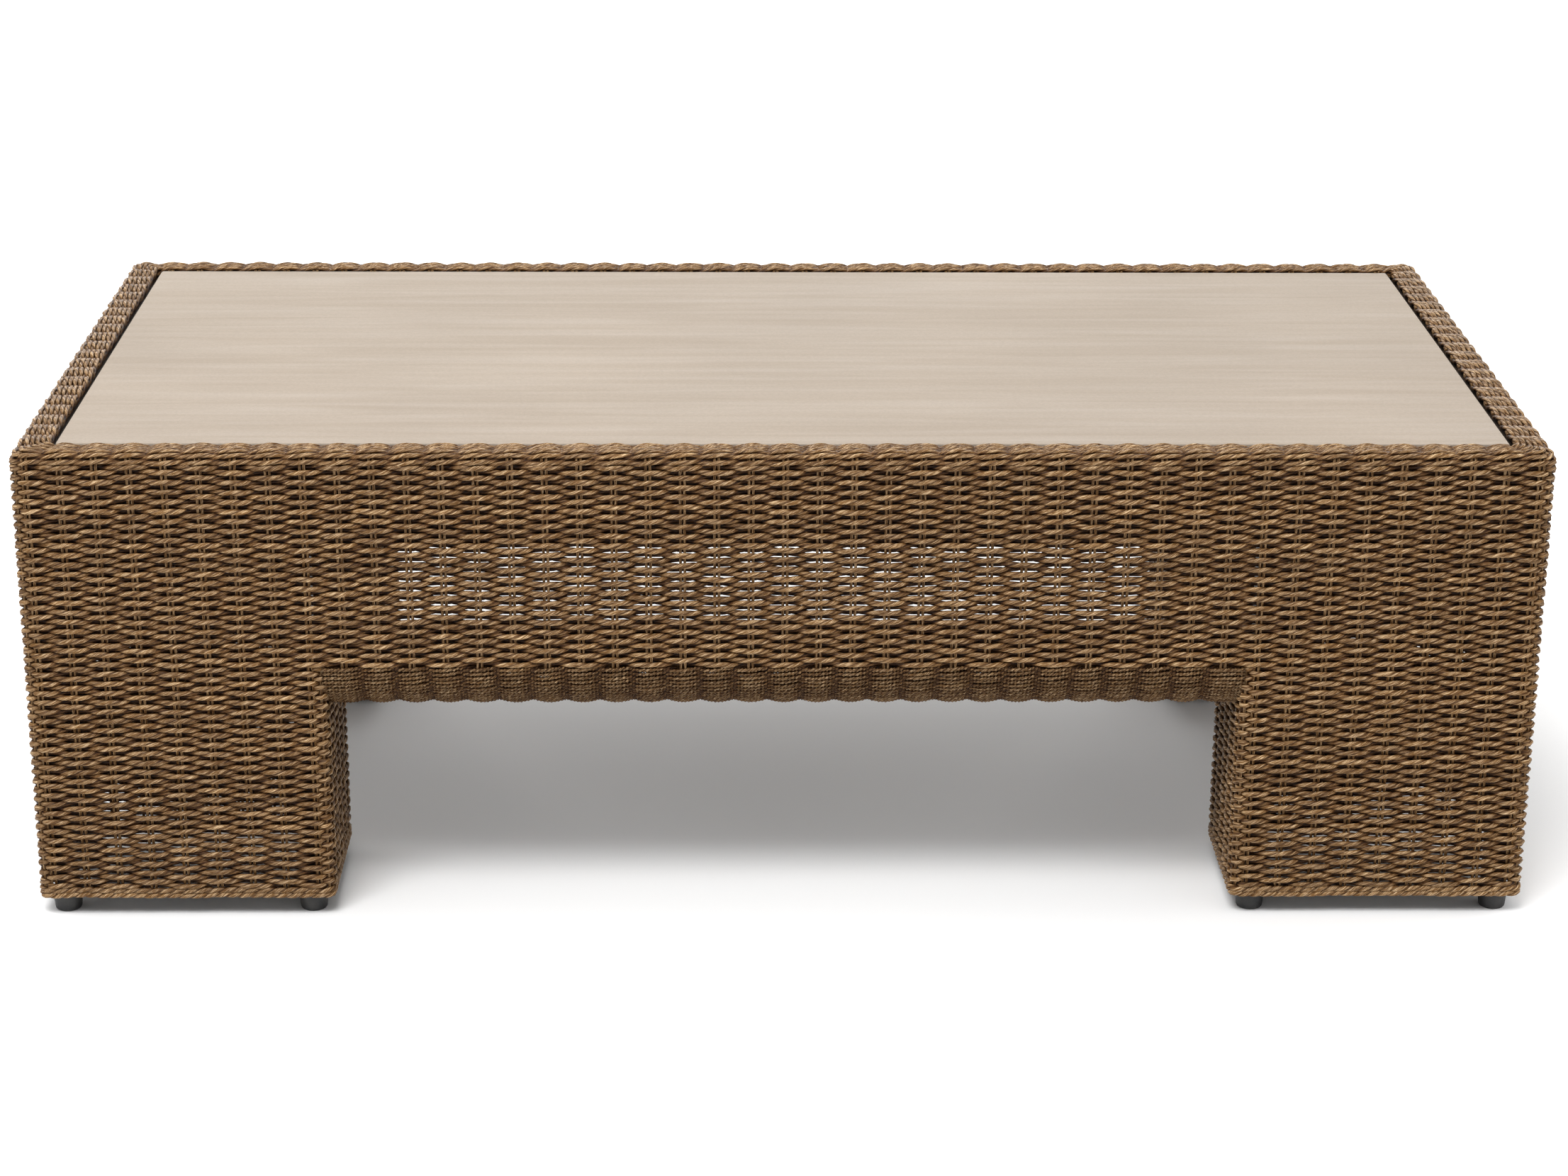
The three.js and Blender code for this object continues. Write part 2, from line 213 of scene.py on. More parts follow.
class Weave:
    """Gathers tubes into one mesh of the woven cover."""

    def __init__(self, name, *replaced):
        self.name, self.replaced = name, replaced
        self.points, self.fibre, self.tone, self.quads, self.caps = [], [], [], [], []
        self.count = 0

    def add(self, tube, closed=False):
        """A closed tube meets its own start. An open one gets a flat cap at each end."""
        rings, fibre, tone = tube
        sections, around = rings.shape[:2]
        index = self.count + np.arange(sections * around).reshape(sections, around)
        here = index if closed else index[:-1]
        ahead = np.roll(index, -1, 0) if closed else index[1:]
        quads = np.stack([here, np.roll(here, -1, 1), np.roll(ahead, -1, 1), ahead], axis=-1)
        self.quads.append(quads.reshape(-1, 4))
        if not closed:
            self.caps += [index[0][::-1], index[-1]]
        self.points.append(rings.reshape(-1, 3))
        self.fibre.append(fibre.reshape(-1, 3))
        self.tone.append(tone.reshape(-1, 3))
        self.count += sections * around

    def build(self, material):
        quads = np.concatenate(self.quads)
        corners = np.concatenate([quads.ravel(), *self.caps])
        sizes = np.concatenate([np.full(len(quads), 4), [len(cap) for cap in self.caps]])
        mesh = bpy.data.meshes.new(self.name)
        mesh.vertices.add(self.count)
        mesh.vertices.foreach_set("co", np.concatenate(self.points).astype(np.float32).ravel())
        mesh.loops.add(len(corners))
        mesh.loops.foreach_set("vertex_index", corners.astype(np.int32))
        mesh.polygons.add(len(sizes))
        starts = np.concatenate([[0], np.cumsum(sizes)[:-1]])
        mesh.polygons.foreach_set("loop_start", starts.astype(np.int32))
        mesh.polygons.foreach_set("use_smooth", sizes == 4)
        mesh.update(calc_edges=True)
        for name, values in (("fibre", self.fibre), ("tone", self.tone)):
            layer = mesh.attributes.new(name, "FLOAT_VECTOR", "POINT")
            layer.data.foreach_set("vector", np.concatenate(values).astype(np.float32).ravel())
        obj = bpy.data.objects.new(self.name, mesh)
        bpy.context.collection.objects.link(obj)
        mesh.materials.append(material)
        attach(obj, "table_frame")
        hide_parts(*self.replaced)


# Rows in plan


class Plan:
    """The middle of a row in plan: a rectangle with rounded corners, walked anticlockwise, or one
    straight side of it. The cover faces to the right of the walk. Its shade goes from 0, dark, to 1."""

    ARC_STEPS = 8

    def __init__(self, corners, closed=True, shade=0.6):
        corners = [np.array(corner) for corner in corners]
        sides = len(corners) if closed else 1
        radius = CORNER if closed else 0.0
        knots, self.side_start, self.corner_at = [], [], []
        walked = 0.0
        ahead = unit(corners[1] - corners[0])
        facing = math.atan2(-ahead[0], ahead[1])
        for i in range(sides):
            a, b = corners[i], corners[(i + 1) % len(corners)]
            ahead = unit(b - a)
            self.side_start.append(walked - radius)
            knots.append((walked, *(a + ahead * radius), facing))
            walked += np.linalg.norm(b - a) - 2 * radius
            knots.append((walked, *(b - ahead * radius), facing))
            if closed:
                centre = b + radius * (np.array([-ahead[1], ahead[0]]) - ahead)
                self.corner_at.append(walked + radius * math.pi / 4)
                for turn in np.linspace(0, math.pi / 2, self.ARC_STEPS + 1)[1:-1]:
                    rim = radius * np.array([math.cos(facing + turn), math.sin(facing + turn)])
                    knots.append((walked + radius * turn, *(centre + rim), facing + turn))
                walked += radius * math.pi / 2
                facing += math.pi / 2
        if closed:
            knots.append((walked, *knots[0][1:3], facing))
        self.closed, self.length, self.knots = closed, walked, np.array(knots).T
        self.shade = shade

    def at(self, distance):
        s, x, y, facing = self.knots
        turn = np.interp(distance, s, facing)
        level = np.zeros(len(distance))
        place = np.stack([np.interp(distance, s, x), np.interp(distance, s, y), level], -1)
        return place, np.stack([np.cos(turn), np.sin(turn), level], -1)


def swing_at(distance, stakes, plan, straight=0.0):
    """Which side of the stakes a cord is on, from -1 to 1, and how far it is into a crossing, also
    from -1 to 1. Each stake is (place, side)."""
    place, side = (np.array(column, float) for column in zip(*stakes))
    if plan.closed:
        place = np.concatenate([[place[-1] - plan.length], place, [place[0] + plan.length]])
        side = np.concatenate([side[-1:], side, side[:1]])
    last = np.clip(np.searchsorted(place, distance, side="right") - 1, 0, len(place) - 2)
    way = (distance - place[last]) / (place[last + 1] - place[last])
    share = np.clip((way - straight) / (1 - 2 * straight), 0, 1)
    ease = (1 - np.cos(math.pi * share)) / 2
    crossing = np.sin(math.pi * share) * (side[last] - side[last + 1]) / 2
    return side[last] * (1 - ease) + side[last + 1] * ease, crossing


def stray(distance, length, level):
    """Unevenness of hand weaving: a slow part that neighbouring rows share, and each row's own."""
    shared = sum(
        share * wave(distance, length, period, level * climb)
        for share, period, climb in STRAY_WAVES
    )
    own = sum(wave(distance, length, period, rng.uniform(0, PHASE_RANGE)) for period in JITTER_PERIODS)
    return WANDER * shared + JITTER * own / 2


def lay_row(plan, level, tilt, swing, radius, twist):
    """A row at a level. Tilt is the weave's slope there: 0 on a face, a right angle on top."""
    count = round(plan.length / SECTION_STEP)
    distance = np.linspace(0, plan.length, count, endpoint=not plan.closed)
    place, outward = plan.at(distance)
    facing = outward * math.cos(tilt) + UP * math.sin(tilt)
    rowwards = UP * math.cos(tilt) - outward * math.sin(tilt)
    side, rise = swing(distance)
    lift = (MIDDLE - radius) * side
    centres = place + UP * level + facing * lift[:, None]
    centres += rowwards * (rise + stray(distance, plan.length, level + tilt))[:, None]
    return distance, two_ply(centres, facing, lift, distance, plan, radius, twist)


def cord_row(plan, stakes, level, tilt):
    def swing(distance):
        return swing_at(distance, stakes, plan, STRAIGHT)[0], 0

    return lay_row(plan, level, tilt, swing, CORD, TWIST)


def twined_rows(plan, stakes, level, tilt, twist=TWIST):
    """Two cords that swap sides between the stakes, always over each other the same way."""
    def swing_on(sign):
        def swing(distance):
            side, crossing = swing_at(distance, stakes, plan)
            return sign * side, sign * TWINE_RISE * crossing
        return swing

    return [lay_row(plan, level, tilt, swing_on(sign), TWINE_CORD, twist) for sign in (-1, 1)]


def rope_row(plan, level, tilt):
    """A tight rope that closes an edge of the weave."""
    def swing(distance):
        return np.full(len(distance), ROPE_SIDE), 0

    return lay_row(plan, level, tilt, swing, ROPE, ROPE_TWIST)


def run_of(tube, start, end):
    """Part of a closed tube, between two of its sections."""
    count = len(tube[0])
    run = np.arange(start, end + 1 + (count if end < start else 0)) % count
    return tuple(values[run] for values in tube)


# Levels: the cover's rows are numbered upwards from the foot of the legs


def row_up(row):
    return ROPE + row * ROW


TURN_START = HEIGHT - MIDDLE - TOP_TURN - LEG_BOTTOM
TURN_END = TURN_START + TOP_TURN * math.pi / 2
FACE_START = FACE_BOTTOM - LEG_BOTTOM
FIRST_FACE_ROW = math.ceil((FACE_START - ROPE) / ROW)
BORDER_END = TURN_END + BORDER - MIDDLE - TOP_TURN - ROPE
LAST_FACE_ROW = math.floor((TURN_START - ROPE) / ROW)
ROLL_END = math.pi * ROLL_RADIUS + RETURN_TOP - FACE_BOTTOM


def cover_middle(up):
    """Inset, level and tilt of the cover's middle, a distance up from the foot of a leg."""
    if up <= TURN_START:
        return MIDDLE, LEG_BOTTOM + up, 0.0
    if up <= TURN_END:
        tilt = (up - TURN_START) / TOP_TURN
        level = HEIGHT - MIDDLE - TOP_TURN * (1 - math.sin(tilt))
        return MIDDLE + TOP_TURN * (1 - math.cos(tilt)), level, tilt
    return MIDDLE + TOP_TURN + up - TURN_END, HEIGHT - MIDDLE, math.pi / 2


def roll_middle(down):
    """The same for the rolled edge, a distance down from the bottom of the flat face."""
    angle = down / ROLL_RADIUS
    if angle <= math.pi:
        inset = ROLL_DEPTH / 2 - ROLL_RADIUS * math.cos(angle)
        return inset, FACE_BOTTOM - ROLL_RADIUS * math.sin(angle), -angle
    return ROLL_DEPTH - MIDDLE, FACE_BOTTOM + down - math.pi * ROLL_RADIUS, -math.pi


# Table and leg outlines


def rectangle(low, high, inset):
    return [
        (low[0] + inset, low[1] + inset), (high[0] - inset, low[1] + inset),
        (high[0] - inset, high[1] - inset), (low[0] + inset, high[1] - inset),
    ]


TABLE_LOW, TABLE_HIGH = (-LENGTH / 2, -WIDTH / 2), (LENGTH / 2, WIDTH / 2)
LONG_PLACES = [(k + 0.5) * LONG_PITCH for k in range(LONG_PAIRS)]
SHORT_PLACES = [(k + 0.5) * SHORT_PITCH for k in range(SHORT_PAIRS)]
TABLE_PLACES = [LONG_PLACES, SHORT_PLACES, LONG_PLACES, SHORT_PLACES]
SIDE_FIRST = [0, LONG_PAIRS + 1, LONG_PAIRS + SHORT_PAIRS + 2, 2 * LONG_PAIRS + SHORT_PAIRS + 3]
SIDE_LENGTH = [LENGTH, WIDTH, LENGTH, WIDTH]
SIDE_LEG = [LEG_LENGTH, LEG_DEPTH, LEG_LENGTH, LEG_DEPTH]  # how much of each end is a leg

# Each leg's corner of the table in the order of the sides, as signs of x and y
LEGS = {"front_left": (-1, -1), "front_right": (1, -1), "back_right": (1, 1), "back_left": (-1, 1)}


def side_of(stake, row):
    return 1 if (stake + row) % 2 == 0 else -1


def stakes_round(plan, places_by_side, row, inset, first):
    """Stakes met by a closed row. A row well inside the top has no room for a side's end pairs,
    and its corners then pass where those pairs would have been."""
    crowded = places_by_side[0][0] - inset < CORNER
    stakes, number = [], first
    for side, places in enumerate(places_by_side):
        for place in places:
            if not crowded or place not in (places[0], places[-1]):
                stakes.append((plan.side_start[side] + place - inset, side_of(number, row)))
            number += 1
        stakes.append((plan.corner_at[side], side_of(number + crowded, row)))
        number += 1
    return stakes


def leg_outline(index, inset):
    """A leg's corners, anticlockwise from the table's own corner."""
    sx, sy = list(LEGS.values())[index]
    xs = sorted((sx * LENGTH / 2, sx * (LENGTH / 2 - LEG_LENGTH)))
    ys = sorted((sy * WIDTH / 2, sy * (WIDTH / 2 - LEG_DEPTH)))
    corners = rectangle((xs[0], ys[0]), (xs[1], ys[1]), inset)
    return corners[index:] + corners[:index]


def leg_places(index):
    long_side, short_side = LONG_PLACES[:LEG_LONG_PAIRS], SHORT_PLACES[:LEG_SHORT_PAIRS]
    return [long_side, short_side] * 2 if index % 2 == 0 else [short_side, long_side] * 2


# Weaving


def weave_cover():
    """The rows above the legs go right round the table, and are divided at its corners."""
    cover = {
        (side, band): Weave(f"woven_{side}_{band}", f"weave_{side}")
        for side in SIDES for band in ("lower_face", "upper_face", "border")
    }

    def add(band, plan, distance, tube):
        cuts = [int(np.argmin(abs(distance - at))) for at in plan.corner_at]
        for i, side in enumerate(SIDES):
            cover[side, band].add(run_of(tube, cuts[i - 1], cuts[i]))

    for row in range(FIRST_FACE_ROW, LAST_FACE_ROW + 1):
        inset, level, tilt = cover_middle(row_up(row))
        plan = Plan(rectangle(TABLE_LOW, TABLE_HIGH, inset))
        stakes = stakes_round(plan, TABLE_PLACES, row, inset, SIDE_FIRST[0])
        upper = row > (FIRST_FACE_ROW + LAST_FACE_ROW) / 2
        add("upper_face" if upper else "lower_face", plan, *cord_row(plan, stakes, level, tilt))
    first_up = row_up(LAST_FACE_ROW) + (ROW + TWINE_ROW) / 2
    for step, up in enumerate(np.arange(first_up, BORDER_END + TWINE_CORD / 2, TWINE_ROW)):
        inset, level, tilt = cover_middle(up)
        plan = Plan(rectangle(TABLE_LOW, TABLE_HIGH, inset))
        stakes = stakes_round(plan, TABLE_PLACES, step, inset, SIDE_FIRST[0])
        for distance, tube in twined_rows(plan, stakes, level, tilt):
            add("border", plan, distance, tube)
    return list(cover.values())


def weave_rolls():
    """The rows of the rolled edge lie straight between two legs: twined on the outside, then plain."""
    rolls = []
    for i, side in enumerate(SIDES):
        parts = [
            Weave(f"woven_{side}_roll_{part}", f"weave_{side}") for part in ("outer", "lower", "inner")
        ]
        rolls += parts
        start = SIDE_LEG[i] - MIDDLE
        end = SIDE_LENGTH[i] - start
        pairs = [
            (k, place) for k, place in enumerate(TABLE_PLACES[i])
            if start - CORD < place < end + CORD
        ]
        down = FACE_START - row_up(FIRST_FACE_ROW) + (ROW + TWINE_ROW) / 2
        row = FIRST_FACE_ROW - 1
        while down < ROLL_END:
            inset, level, tilt = roll_middle(down)
            corners = rectangle(TABLE_LOW, TABLE_HIGH, inset)
            a, b = np.array(corners[i]), np.array(corners[(i + 1) % 4])
            ahead = unit(b - a)
            # Painted shade: the rolled edge gets darker towards its underside
            shade = ROLL_SHADE - ROLL_SHADE_DROP * min(1, down / (math.pi / 2 * ROLL_RADIUS))
            plan = Plan([a + ahead * (start - inset), b - ahead * (start - inset)], False, shade)
            stakes = [(place - start, side_of(SIDE_FIRST[i] + k, row)) for k, place in pairs]
            if down < ROLL_END / 2:
                for _, tube in twined_rows(plan, stakes, level, tilt, ROLL_TWIST):
                    parts[down > ROLL_END / 4].add(tube)
                down += ROLL_ROW
            else:
                parts[2].add(cord_row(plan, stakes, level, tilt)[1])
                down += ROW
            row -= 1
        parts[2].add(rope_row(plan, level + ROPE, tilt)[1])
    return rolls


def weave_legs():
    """Closed rows round each leg, and above them rows on its two inner faces, up inside the aprons."""
    legs = []
    for index, name in enumerate(LEGS):
        long_name, short_name = name.split("_")
        replaced = (f"leg_weave_{name}", f"weave_{long_name}", f"weave_{short_name}")
        halves = [Weave(f"woven_leg_{name}_{half}", *replaced) for half in ("lower", "upper")]
        legs += halves
        plan = Plan(leg_outline(index, MIDDLE))
        places = leg_places(index)
        for row in (0, 1):
            halves[0].add(rope_row(plan, LEG_BOTTOM + row_up(row), 0.0)[1], closed=True)
        row = 2
        while row_up(row) < LEG_WEAVE_TOP - LEG_BOTTOM - CORD:
            stakes = stakes_round(plan, places, row, MIDDLE, index // 2)
            distance, tube = cord_row(plan, stakes, LEG_BOTTOM + row_up(row), 0.0)
            half = halves[row >= FIRST_FACE_ROW / 2]
            if row < FIRST_FACE_ROW:
                half.add(tube, closed=True)
            else:
                hidden = ROLL_DEPTH - 2 * MIDDLE  # what the aprons' own weave covers of an inner face
                start = plan.side_start[1] + hidden
                end = plan.side_start[3] - hidden
                half.add(run_of(tube, *np.searchsorted(distance, (start, end))))
            row += 1
    return legs


def stand_stakes():
    """The stakes follow the middle of the weave: up the faces, over the edge and across the border,
    and between the legs round the rolled edge as well."""
    standing = []
    for i, side in enumerate(SIDES):
        stakes = Weave(f"stakes_{side}", f"weave_{side}")
        standing.append(stakes)
        a, b = (np.array([*rectangle(TABLE_LOW, TABLE_HIGH, 0)[(i + step) % 4], 0]) for step in (0, 1))
        ahead = unit(b - a)
        outward = np.cross(ahead, UP)
        for place in TABLE_PLACES[i]:
            from_end = min(place, SIDE_LENGTH[i] - place)
            for offset in (-STAKE_SPLIT, STAKE_SPLIT):
                top = min(BORDER_END, TURN_END + from_end - MIDDLE - TOP_TURN)
                turn, flat = np.arange(TURN_START, TURN_END, TURN_STEP), np.arange(TURN_END, top, FLAT_STEP)
                ups = [*turn, *flat, top]
                if from_end < SIDE_LEG[i]:
                    path = [cover_middle(up) for up in (ROPE, *ups)]
                else:
                    downs = np.arange(ROLL_END - ROW, 0, -ROLL_STEP)
                    path = [roll_middle(down) for down in downs]
                    path += [cover_middle(up) for up in (FACE_START, *ups)]
                insets, levels, tilts = (np.array(column)[:, None] for column in zip(*path))
                centres = a + ahead * (place + offset) - outward * insets + UP * levels
                facing = outward * np.cos(tilts) + UP * np.sin(tilts)
                stakes.add(round_stake(centres, facing))
    for index, name in enumerate(LEGS):
        stakes = Weave(f"stakes_leg_{name}", f"leg_weave_{name}")
        standing.append(stakes)
        plan = Plan(leg_outline(index, MIDDLE))
        places = leg_places(index)
        at = [
            plan.side_start[side] + place - MIDDLE + offset
            for side in (1, 2) for place in places[side] for offset in (-STAKE_SPLIT, STAKE_SPLIT)
        ]
        tops = {corner: FACE_BOTTOM for corner in plan.corner_at}
        tops[plan.corner_at[1]] = LEG_WEAVE_TOP - CORD
        tops[plan.corner_at[3]] = LEG_BOTTOM + TURN_START
        for distance in at + plan.corner_at:
            top = tops.get(distance, LEG_WEAVE_TOP - CORD)
            (foot,), (facing,) = plan.at(np.array([distance]))
            levels = np.linspace(LEG_BOTTOM + ROPE, top, LEG_STAKE_SECTIONS)[:, None]
            stakes.add(round_stake(foot + UP * levels, facing * np.ones_like(levels)))
    return standing


# Materials


MIX_FACTOR, MIX_A, MIX_B, MIX_RESULT = 0, 6, 7, 2  # sockets of a Mix node set to colour


def grey(level):
    return (level, level, level)


class Nodes:
    """Builds a material's node tree, one line for each node."""

    def __init__(self, name):
        self.material = bpy.data.materials.new(name)
        self.material.use_nodes = True
        self.tree = self.material.node_tree
        self.surface = self.tree.nodes["Principled BSDF"]

    def add(self, kind, inputs=(), **settings):
        node = self.tree.nodes.new(f"ShaderNode{kind}")
        for name, value in settings.items():
            setattr(node, name, value)
        self.feed(node, dict(inputs))
        return node

    def feed(self, node, inputs):
        for name, value in inputs.items():
            if isinstance(value, bpy.types.NodeSocket):
                self.tree.links.new(value, node.inputs[name])
            else:
                node.inputs[name].default_value = value

    def ramp(self, value, *stops):
        node = self.add("ValToRGB", {"Fac": value})
        elements = node.color_ramp.elements
        while len(elements) < len(stops):
            elements.new(0.5)
        for element, (position, colour) in zip(elements, stops):
            element.position = position
            element.color = (*colour, 1)
        return node.outputs["Color"]

    def mix(self, kind, factor, a, b):
        node = self.add("Mix", data_type="RGBA", blend_type=kind)
        for socket, value in ((MIX_FACTOR, factor), (MIX_A, a), (MIX_B, b)):
            if isinstance(value, bpy.types.NodeSocket):
                self.tree.links.new(value, node.inputs[socket])
            else:
                node.inputs[socket].default_value = value if socket == MIX_FACTOR else (*value, 1)
        return node.outputs[MIX_RESULT]


def wicker_material():
    n = Nodes("wicker")
    fibre = n.add("Attribute", attribute_name="fibre").outputs["Vector"]
    tone = n.add("Attribute", attribute_name="tone").outputs["Vector"]
    shade, groove, core = n.add("SeparateXYZ", {"Vector": tone}).outputs
    streak = n.add("TexNoise", {"Vector": fibre, "Scale": 1.0, "Detail": 3.0, "Roughness": 0.6})
    patch = n.add("TexNoise", {"Vector": fibre, "Scale": 0.13, "Detail": 1.0})
    body = n.ramp(
        streak.outputs["Fac"],
        (0.3, (0.062, 0.024, 0.005)),
        (0.5, (0.155, 0.078, 0.025)),
        (0.66, (0.57, 0.42, 0.265)),
    )
    cord = n.ramp(shade, (0.0, (0.50, 0.43, 0.32)), (0.5, (0.93, 0.92, 0.90)), (0.9, (1.2, 1.2, 1.15)))
    body = n.mix("MULTIPLY", 1.0, body, cord)
    pale = n.ramp(patch.outputs["Fac"], (0.38, (0.84, 0.82, 0.80)), (0.60, (1.1, 1.1, 1.08)))
    body = n.mix("MULTIPLY", 1.0, body, pale)
    # Painted shade: darker in the grooves between the plies, where light hardly reaches
    painted_groove_shade = n.ramp(groove, (0.25, grey(1.0)), (0.9, (0.34, 0.26, 0.18)))
    body = n.mix("MULTIPLY", 1.0, body, painted_groove_shade)
    # Painted shade: darker towards the middle of the weave, where light hardly reaches
    shaded = n.ramp(core, (0.3, grey(1.0)), (0.6, (0.50, 0.40, 0.28)), (0.9, (0.11, 0.06, 0.02)))
    body = n.mix("MULTIPLY", 1.0, body, shaded)
    rough = n.ramp(streak.outputs["Fac"], (0.35, grey(0.62)), (0.7, grey(0.40)))
    bump = n.add("Bump", {"Height": streak.outputs["Fac"], "Strength": 0.55, "Distance": 0.35 * MM})
    n.feed(n.surface, {"Base Color": body, "Roughness": rough, "Normal": bump.outputs["Normal"]})
    n.surface.inputs["Specular IOR Level"].default_value = 0.16
    return n.material


def ceramic_material():
    """Pale matt ceramic with a faint grain along the table."""
    n = Nodes("ceramic")
    place = n.add("TexCoord").outputs["Object"]
    stretched = n.add("Mapping", {"Vector": place, "Scale": (2.2, 38.0, 38.0)}).outputs["Vector"]
    grain = n.add("TexNoise", {"Vector": stretched, "Scale": 1.6, "Detail": 6.0, "Distortion": 0.6})
    clouds = n.add("TexNoise", {"Vector": place, "Scale": 3.5, "Detail": 2.0})
    speck = n.add("TexNoise", {"Vector": place, "Scale": 420.0, "Detail": 2.0})
    body = n.ramp(
        grain.outputs["Fac"],
        (0.34, (0.280, 0.230, 0.180)), (0.5, (0.293, 0.242, 0.191)), (0.66, (0.304, 0.253, 0.202)),
    )
    for noise in (clouds, speck):
        shade = n.ramp(noise.outputs["Fac"], (0.3, grey(0.95)), (0.7, grey(1.04)))
        body = n.mix("MULTIPLY", 1.0, body, shade)
    rough = n.ramp(grain.outputs["Fac"], (0.3, grey(0.78)), (0.7, grey(0.66)))
    bump = n.add("Bump", {"Height": speck.outputs["Fac"], "Strength": 0.25, "Distance": 0.15 * MM})
    n.feed(n.surface, {"Base Color": body, "Roughness": rough, "Normal": bump.outputs["Normal"]})
    n.surface.inputs["Specular IOR Level"].default_value = 0.2
    return n.material


def coated_metal_material():
    """Dark brown powder coat with its fine orange-peel texture."""
    n = Nodes("brown_powder_coat")
    place = n.add("TexCoord").outputs["Object"]
    peel = n.add("TexNoise", {"Vector": place, "Scale": 900.0, "Detail": 2.0})
    wear = n.add("TexNoise", {"Vector": place, "Scale": 14.0, "Detail": 4.0})
    body = n.ramp(wear.outputs["Fac"], (0.35, (0.030, 0.019, 0.012)), (0.65, (0.052, 0.034, 0.022)))
    rough = n.ramp(peel.outputs["Fac"], (0.3, grey(0.58)), (0.7, grey(0.42)))
    bump = n.add("Bump", {"Height": peel.outputs["Fac"], "Strength": 0.4, "Distance": 0.2 * MM})
    n.feed(n.surface, {"Base Color": body, "Roughness": rough, "Normal": bump.outputs["Normal"]})
    return n.material


def rubber_material():
    """Black rubber, a little dusty in patches."""
    n = Nodes("black_rubber")
    place = n.add("TexCoord").outputs["Object"]
    grain = n.add("TexNoise", {"Vector": place, "Scale": 700.0, "Detail": 3.0})
    dust = n.add("TexNoise", {"Vector": place, "Scale": 60.0, "Detail": 4.0})
    body = n.ramp(dust.outputs["Fac"], (0.45, grey(0.010)), (0.8, (0.035, 0.032, 0.028)))
    rough = n.ramp(grain.outputs["Fac"], (0.3, grey(0.6)), (0.7, grey(0.42)))
    bump = n.add("Bump", {"Height": grain.outputs["Fac"], "Strength": 0.35, "Distance": 0.2 * MM})
    n.feed(n.surface, {"Base Color": body, "Roughness": rough, "Normal": bump.outputs["Normal"]})
    return n.material


def floor_material():
    n = Nodes("floor")
    place = n.add("TexCoord").outputs["Object"]
    clouds = n.add("TexNoise", {"Vector": place, "Scale": 0.8, "Detail": 2.0})
    body = n.ramp(clouds.outputs["Fac"], (0.3, grey(0.86)), (0.7, grey(0.88)))
    n.feed(n.surface, {"Base Color": body, "Roughness": 0.9})
    return n.material


# Pieces made here in place of their CAD solids


def mesh_object(name, material, fill):
    """A smooth-shaded mesh object that a function fills through bmesh."""
    mesh = bpy.data.meshes.new(name)
    bm = bmesh.new()
    fill(bm)
    bmesh.ops.recalc_face_normals(bm, faces=bm.faces)
    bm.to_mesh(mesh)
    bm.free()
    obj = bpy.data.objects.new(name, mesh)
    bpy.context.collection.objects.link(obj)
    mesh.materials.append(material)
    return obj


PANEL_CORNER = 3 * MM  # radius in plan
PANEL_EDGE = 1.2 * MM  # radius of its upper and lower edges
PANEL_CORNER_STEPS, PANEL_EDGE_STEPS = 6, 4


def make_panel(material):
    def outline(inset):
        radius = PANEL_CORNER - inset
        points = []
        for i, (x, y) in enumerate(rectangle(PANEL_LOW[:2], PANEL_HIGH[:2], PANEL_CORNER)):
            for step in range(PANEL_CORNER_STEPS + 1):
                angle = math.pi * (1 + i / 2) + math.pi / 2 * step / PANEL_CORNER_STEPS
                points.append((x + radius * math.cos(angle), y + radius * math.sin(angle)))
        return points

    def fill(bm):
        bevel = [(PANEL_EDGE * (1 - math.sin(a)), PANEL_EDGE * (1 - math.cos(a)))
                 for a in np.linspace(0, math.pi / 2, PANEL_EDGE_STEPS + 1)]
        levels = [(inset, PANEL_LOW.z + height) for inset, height in bevel]
        levels += [(inset, PANEL_HIGH.z - height) for inset, height in reversed(bevel)]
        rings = [[bm.verts.new((x, y, z)) for x, y in outline(inset)] for inset, z in levels]
        for below, above in zip(rings, rings[1:]):
            for j in range(len(below)):
                k = (j + 1) % len(below)
                bm.faces.new((below[j], below[k], above[k], above[j])).smooth = True
        bm.faces.new(rings[0][::-1])
        bm.faces.new(rings[-1])

    panel = mesh_object("ceramic_panel", material, fill)
    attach(panel, "lift_out_top")
    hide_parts("top_panel")


GLIDE_PROFILE = [  # radius and height: foot, rounded rim, flared side, shoulder under the weave, stem
    (0.0, 0.6), (8.0, 0.6), (9.2, 0.0), (10.6, 0.0), (11.8, 0.5), (12.4, 1.6), (13.7, 14.0),
    (14.0, 15.6), (13.8, 16.8), (13.0, 17.6), (7.5, 17.7), (7.5, 40.8), (6.6, 42.0), (0.0, 42.0),
]


def make_glide(node, material):
    low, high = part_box(node)
    x, y = (low.x + high.x) / 2, (low.y + high.y) / 2

    def fill(bm):
        profile = [bm.verts.new((radius * MM, 0, height * MM)) for radius, height in GLIDE_PROFILE]
        edges = [bm.edges.new(pair) for pair in zip(profile, profile[1:])]
        bmesh.ops.spin(
            bm, geom=profile + edges, axis=(0, 0, 1), cent=(0, 0, 0), angle=2 * math.pi, steps=48,
            use_merge=True,
        )
        bmesh.ops.remove_doubles(bm, verts=bm.verts, dist=1e-6)
        bmesh.ops.translate(bm, verts=bm.verts, vec=(x, y, low.z))
        for face in bm.faces:
            face.smooth = True

    glide = mesh_object(node.replace("glide_", "foot_"), material, fill)
    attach(glide, "table_frame")
    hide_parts(node)


# The table

wicker = wicker_material()
for woven in weave_cover() + weave_rolls() + weave_legs() + stand_stakes():
    woven.build(wicker)
make_panel(ceramic_material())
rubber, coated = rubber_material(), coated_metal_material()
for name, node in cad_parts.items():
    if name.startswith("glide_"):
        make_glide(name, rubber)
    elif not name.startswith(("weave_", "leg_weave_", "top_panel")):
        for slot in node.material_slots:
            slot.material = coated


# The setting


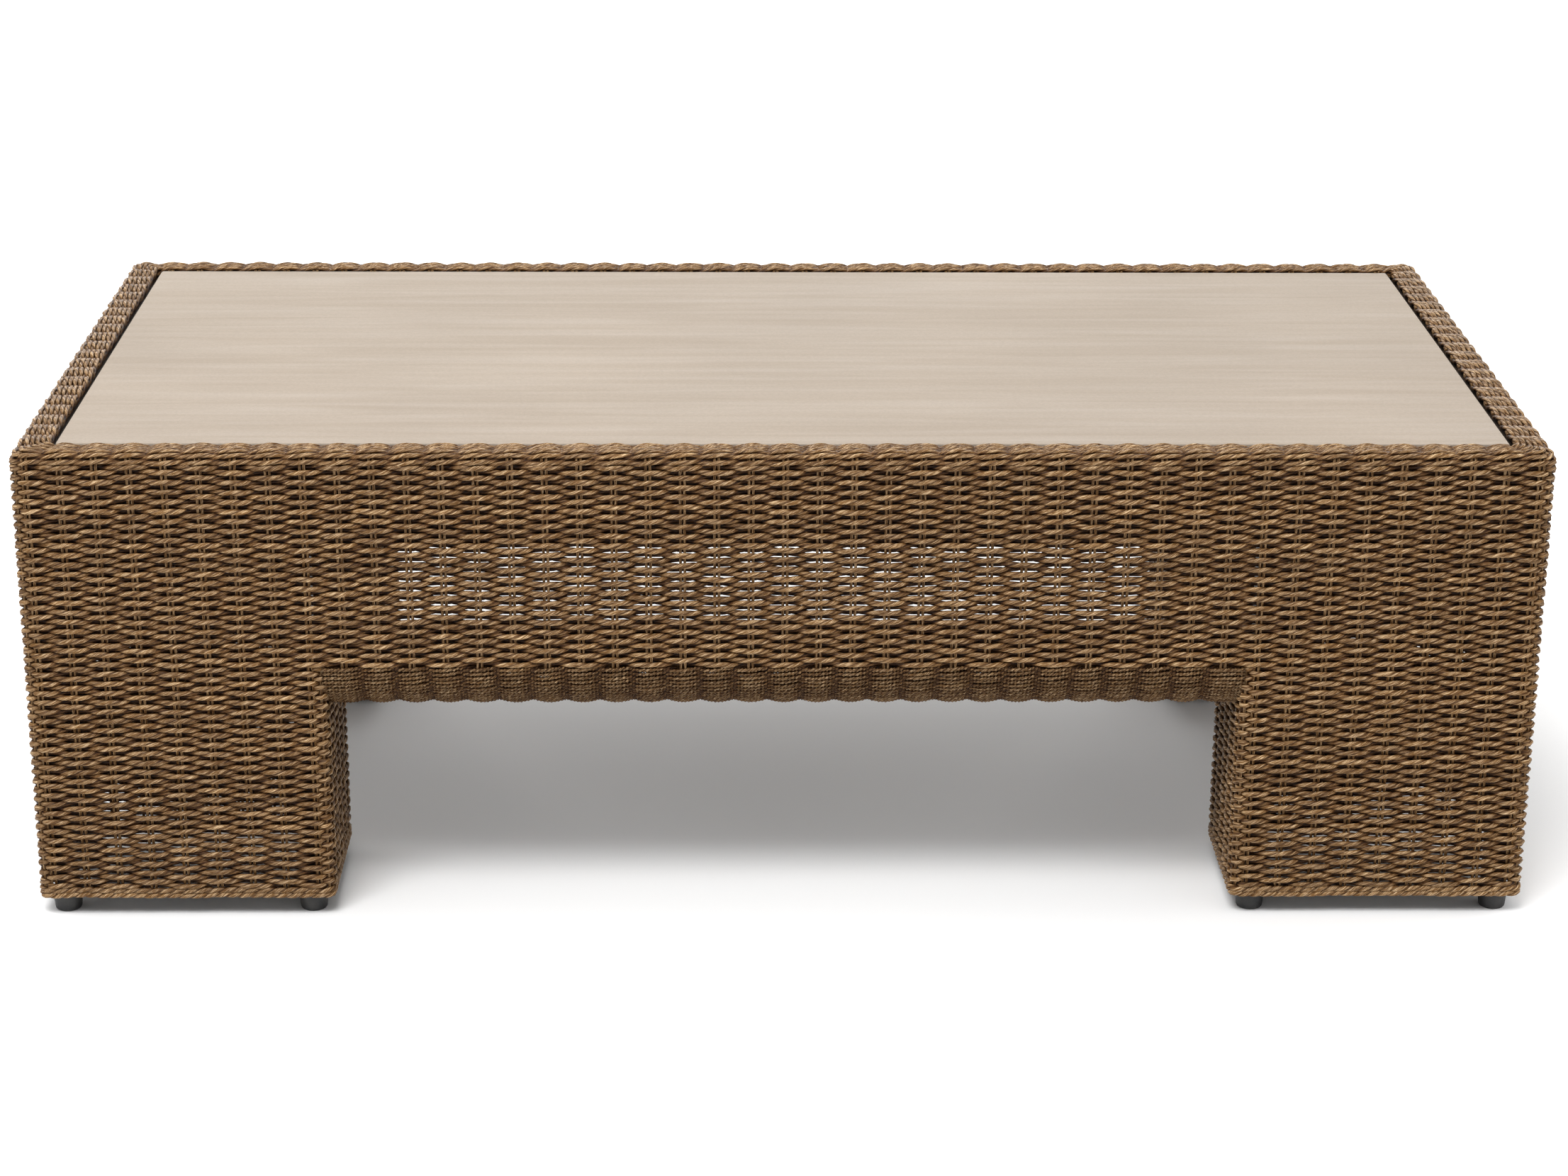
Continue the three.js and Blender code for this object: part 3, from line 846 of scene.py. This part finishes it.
def area_light(name, place, target, size, power):
    """A rectangular light that isn't seen itself. Size is in metres and power in watts."""
    light = bpy.data.lights.new(name, "AREA")
    light.shape = "RECTANGLE"
    light.size, light.size_y = size
    light.energy = power
    obj = bpy.data.objects.new(name, light)
    obj.location = place
    obj.rotation_euler = (Vector(target) - Vector(place)).to_track_quat("-Z", "Y").to_euler()
    obj.visible_camera = False
    bpy.context.collection.objects.link(obj)


def lay_floor(bm):
    bmesh.ops.create_circle(bm, cap_ends=True, segments=96, radius=5.5)


floor = mesh_object("floor", floor_material(), lay_floor)

area_light("overhead", (0, 1.5, 6), (0, 1.5, 0), (14, 16), 520)
area_light("key", (-1.0, -2.6, 4.4), (0, 0, 0.25), (2.6, 1.6), 215)
area_light("low_back", (0, 5.5, 2.1), (0, 0, 0), (6, 0.8), 190)
area_light("left_fill", (-4.5, 0.5, 2.4), (0, 0, 0.2), (2, 2), 55)
area_light("right_fill", (4.5, 0.5, 2.4), (0, 0, 0.2), (2, 2), 55)

scene = bpy.context.scene
world = bpy.data.worlds.new("studio")  # bright round the horizon, darker overhead
world.use_nodes = True
nodes, links = world.node_tree.nodes, world.node_tree.links
split = nodes.new("ShaderNodeSeparateXYZ")
links.new(nodes.new("ShaderNodeTexCoord").outputs["Generated"], split.inputs[0])
ramp = nodes.new("ShaderNodeValToRGB")
links.new(split.outputs["Z"], ramp.inputs["Fac"])
for element, position, level in zip(ramp.color_ramp.elements, (0.22, 0.5), (0.92, 0.25)):
    element.position = position
    element.color = (level, level, level, 1)
links.new(ramp.outputs["Color"], nodes["Background"].inputs["Color"])
scene.world = world
scene.view_settings.view_transform = "Standard"

CAMERA_PLACE = (-0.054, -3.268, 1.377)
CAMERA_PITCH, CAMERA_YAW, CAMERA_ROLL = (math.radians(angle) for angle in (19.76, 1.04, 0.35))
camera = bpy.data.cameras.new("camera")
camera.sensor_width = 36
camera.lens = 78.3
view = bpy.data.objects.new("camera", camera)
bpy.context.collection.objects.link(view)
view.matrix_world = (
    Matrix.Translation(CAMERA_PLACE)
    @ Matrix.Rotation(-CAMERA_YAW, 4, "Z")
    @ Matrix.Rotation(math.pi / 2 - CAMERA_PITCH, 4, "X")
    @ Matrix.Rotation(CAMERA_ROLL, 4, "Z")
)
scene.camera = view
